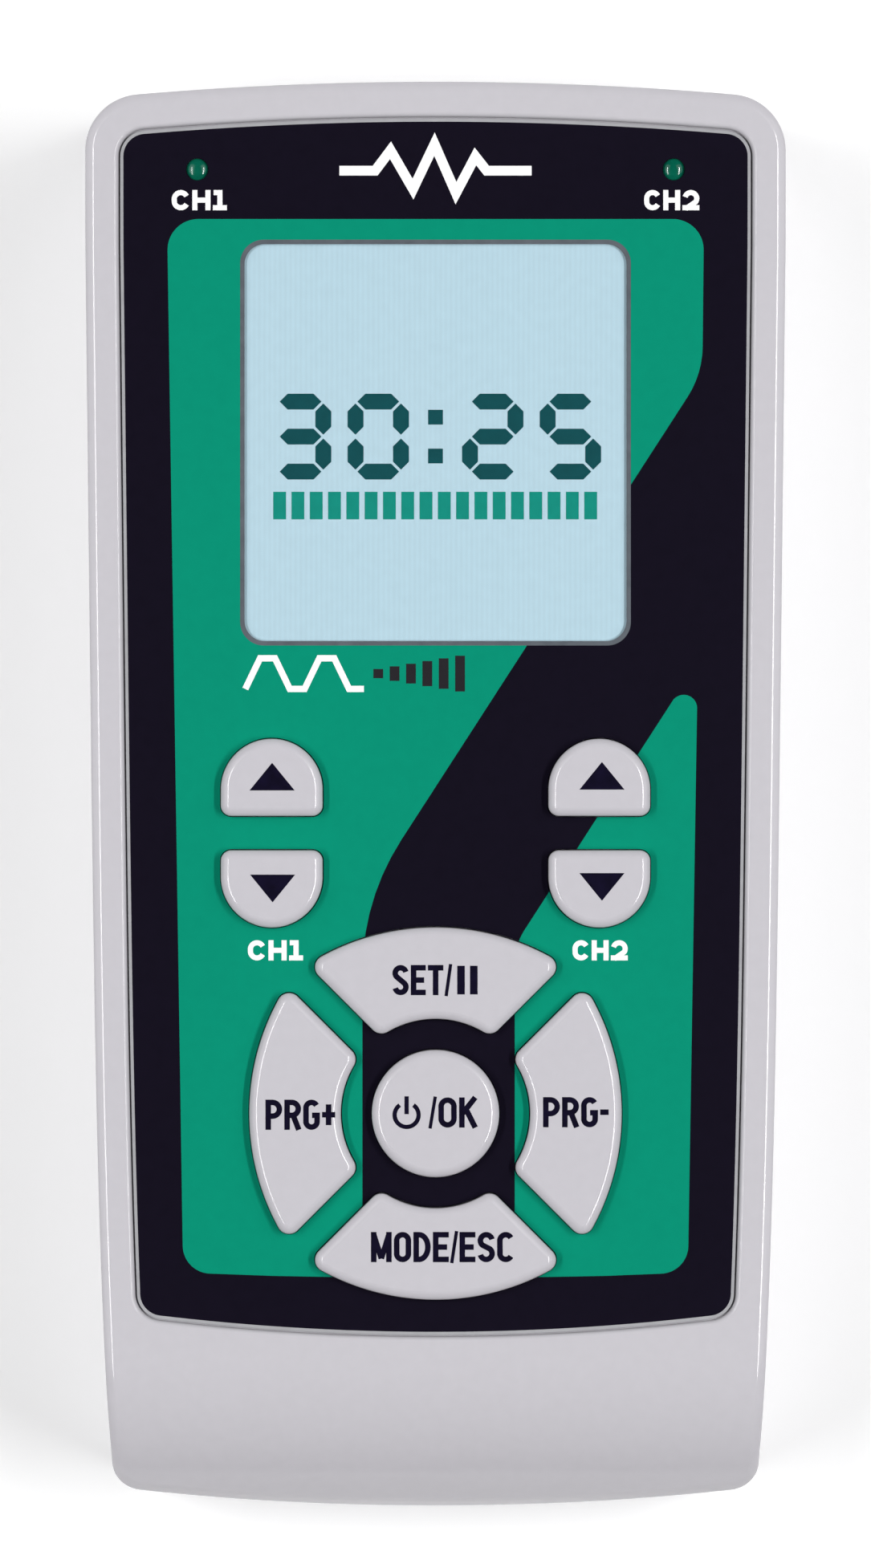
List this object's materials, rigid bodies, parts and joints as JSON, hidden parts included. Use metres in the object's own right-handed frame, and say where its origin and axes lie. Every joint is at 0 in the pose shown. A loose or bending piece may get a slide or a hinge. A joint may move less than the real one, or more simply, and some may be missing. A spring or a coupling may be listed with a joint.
{
  "type": "tens unit",
  "caption": "Handheld nerve stimulator with a display window, channel keys, a ring of keys round a middle key, top end sockets and a sliding battery door.",
  "frame": {"origin": "centre of the back, in the plane that the unit lies on", "axes": "+X to the user's right, +Y towards the socket end, +Z out of the key face"},
  "size_m": [0.0684, 0.14, 0.03],
  "materials": {
    "case_plastic": "satin moulded",
    "key_plastic": "satin moulded",
    "printed_film": "satin film, printed dark with green panels",
    "clear_window": "clear",
    "foam_rubber": "matt",
    "lcd": "clear",
    "light_guide": "milky",
    "frame_plastic": "matt",
    "contact_rubber": "matt",
    "black_plastic": "matt",
    "switch_steel": "plated",
    "circuit_board": "solder mask",
    "led_lens": "moulded lens",
    "contact_brass": "plated",
    "ferrite": "matt",
    "transformer_tape": "taped",
    "capacitor_can": "sleeved",
    "cell_can": "plated",
    "shrink_sleeve": "shrunk",
    "nickel_strip": "plain",
    "wire_cover": "matt",
    "connector_white": "matt",
    "label_film": "satin"
  },
  "bodies": {
    "unit": {"front_case": "case_plastic", "rear_case": "case_plastic", "face_overlay": "printed_film", "display_window": "clear_window", "display_gasket": "foam_rubber", "lcd_glass": "lcd", "lcd_backlight": "light_guide", "lcd_frame": "frame_plastic", "lcd_contact_strip": "contact_rubber", "key_switches": "black_plastic", "output_jack_ch1": "black_plastic", "output_jack_ch2": "black_plastic", "charger_jack": "black_plastic", "microcontroller": "black_plastic", "power_transistors": "black_plastic", "buzzer": "black_plastic", "switch_covers": "switch_steel", "case_screws": "switch_steel", "board_screws": "switch_steel", "main_board": "circuit_board", "led_ch1": "led_lens", "led_ch2": "led_lens", "jack_contacts": "contact_brass", "boost_coil": "ferrite", "pulse_transformers": "transformer_tape", "capacitors": "capacitor_can", "battery_cells": "cell_can", "battery_wrap": "shrink_sleeve", "battery_links": "nickel_strip", "battery_leads": "wire_cover", "battery_plug": "connector_white", "battery_socket": "connector_white", "rating_label": "label_film"},
    "key_ch1_up": {"key_ch1_up": "key_plastic", "plunger_ch1_up": "black_plastic"},
    "key_ch1_down": {"key_ch1_down": "key_plastic", "plunger_ch1_down": "black_plastic"},
    "key_ch2_up": {"key_ch2_up": "key_plastic", "plunger_ch2_up": "black_plastic"},
    "key_ch2_down": {"key_ch2_down": "key_plastic", "plunger_ch2_down": "black_plastic"},
    "key_set_pause": {"key_set_pause": "key_plastic", "plunger_set_pause": "black_plastic"},
    "key_prg_plus": {"key_prg_plus": "key_plastic", "plunger_prg_plus": "black_plastic"},
    "key_mode_esc": {"key_mode_esc": "key_plastic", "plunger_mode_esc": "black_plastic"},
    "key_prg_minus": {"key_prg_minus": "key_plastic", "plunger_prg_minus": "black_plastic"},
    "key_power_ok": {"key_power_ok": "key_plastic", "plunger_power_ok": "black_plastic"},
    "battery_door": {"battery_door": "case_plastic"}
  },
  "joints": [
    {"name": "press_ch1_up", "type": "slide", "parent": "unit", "child": "key_ch1_up", "axis": [0, 0, -1], "range_m": [0, 0.0005], "stiffness_N_per_m": 1500, "springref_m": -0.0004},
    {"name": "press_ch1_down", "type": "slide", "parent": "unit", "child": "key_ch1_down", "axis": [0, 0, -1], "range_m": [0, 0.0005], "stiffness_N_per_m": 1500, "springref_m": -0.0004},
    {"name": "press_ch2_up", "type": "slide", "parent": "unit", "child": "key_ch2_up", "axis": [0, 0, -1], "range_m": [0, 0.0005], "stiffness_N_per_m": 1500, "springref_m": -0.0004},
    {"name": "press_ch2_down", "type": "slide", "parent": "unit", "child": "key_ch2_down", "axis": [0, 0, -1], "range_m": [0, 0.0005], "stiffness_N_per_m": 1500, "springref_m": -0.0004},
    {"name": "press_set_pause", "type": "slide", "parent": "unit", "child": "key_set_pause", "axis": [0, 0, -1], "range_m": [0, 0.0005], "stiffness_N_per_m": 1500, "springref_m": -0.0004},
    {"name": "press_prg_plus", "type": "slide", "parent": "unit", "child": "key_prg_plus", "axis": [0, 0, -1], "range_m": [0, 0.0005], "stiffness_N_per_m": 1500, "springref_m": -0.0004},
    {"name": "press_mode_esc", "type": "slide", "parent": "unit", "child": "key_mode_esc", "axis": [0, 0, -1], "range_m": [0, 0.0005], "stiffness_N_per_m": 1500, "springref_m": -0.0004},
    {"name": "press_prg_minus", "type": "slide", "parent": "unit", "child": "key_prg_minus", "axis": [0, 0, -1], "range_m": [0, 0.0005], "stiffness_N_per_m": 1500, "springref_m": -0.0004},
    {"name": "press_power_ok", "type": "slide", "parent": "unit", "child": "key_power_ok", "axis": [0, 0, -1], "range_m": [0, 0.0005], "stiffness_N_per_m": 1500, "springref_m": -0.0004},
    {"name": "door_slide", "type": "slide", "parent": "unit", "child": "battery_door", "axis": [0, -1, 0], "range_m": [0, 0.06]}
  ]
}
